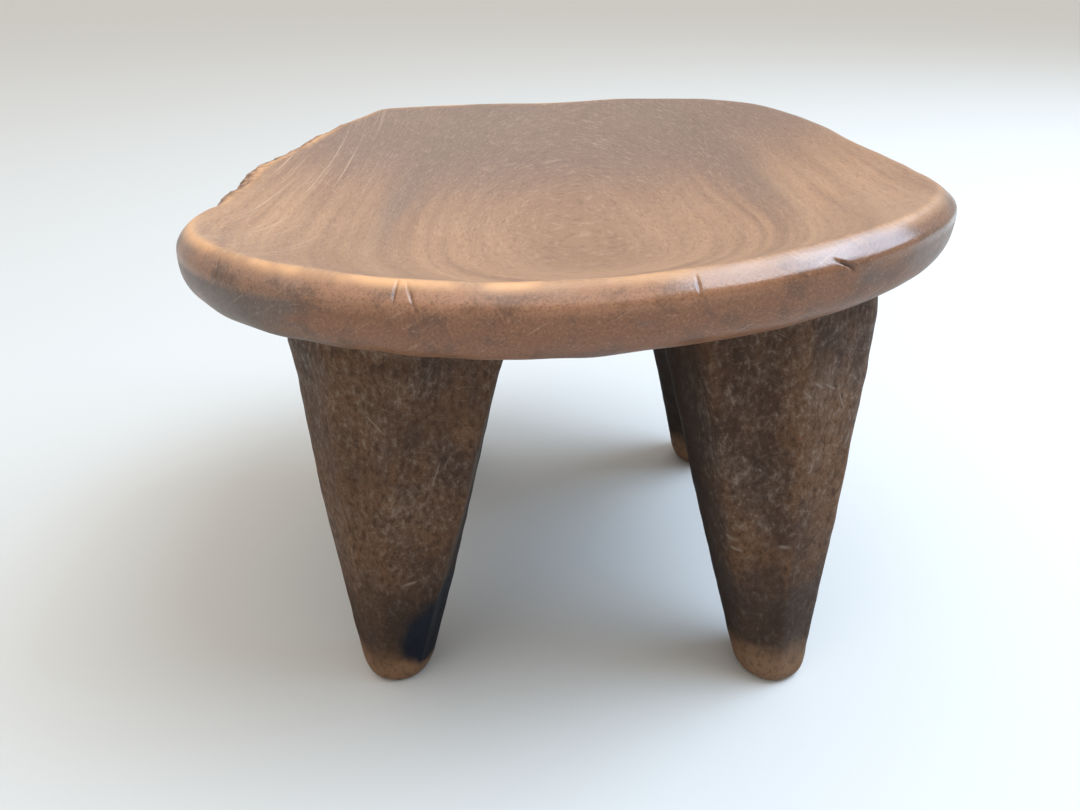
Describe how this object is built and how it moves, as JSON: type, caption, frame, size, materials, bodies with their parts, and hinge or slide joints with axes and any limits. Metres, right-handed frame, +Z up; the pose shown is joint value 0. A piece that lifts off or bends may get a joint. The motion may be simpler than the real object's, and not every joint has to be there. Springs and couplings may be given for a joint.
{
  "type": "carved wooden headrest stool",
  "caption": "Low stool and neck rest carved from one log: a dished, saddle-bent oval seat with a thick rolled rim on stout splayed cone legs with adzed facets.",
  "frame": {"origin": "on the ground under the middle of the seat's bounding box", "axes": "+Z up; -Y is the front, one end-grain end of the seat, and the log's grain runs along Y; +X is to the right seen from the front"},
  "size_m": [0.3242, 0.3221, 0.2253],
  "materials": {
    "seat_wood": "hand-carved hardwood, worn to a soft satin sheen, pinkish brown with broad darker growth bands and a dark polished rim",
    "leg_wood": "hand-carved hardwood, adzed facets, dark grey-brown and slightly dusty, lighter and worn at the feet"
  },
  "bodies": {
    "root": {"seat": "seat_wood", "front_left_leg": "leg_wood", "front_right_leg": "leg_wood", "rear_left_leg": "leg_wood", "rear_right_leg": "leg_wood"}
  },
  "joints": []
}
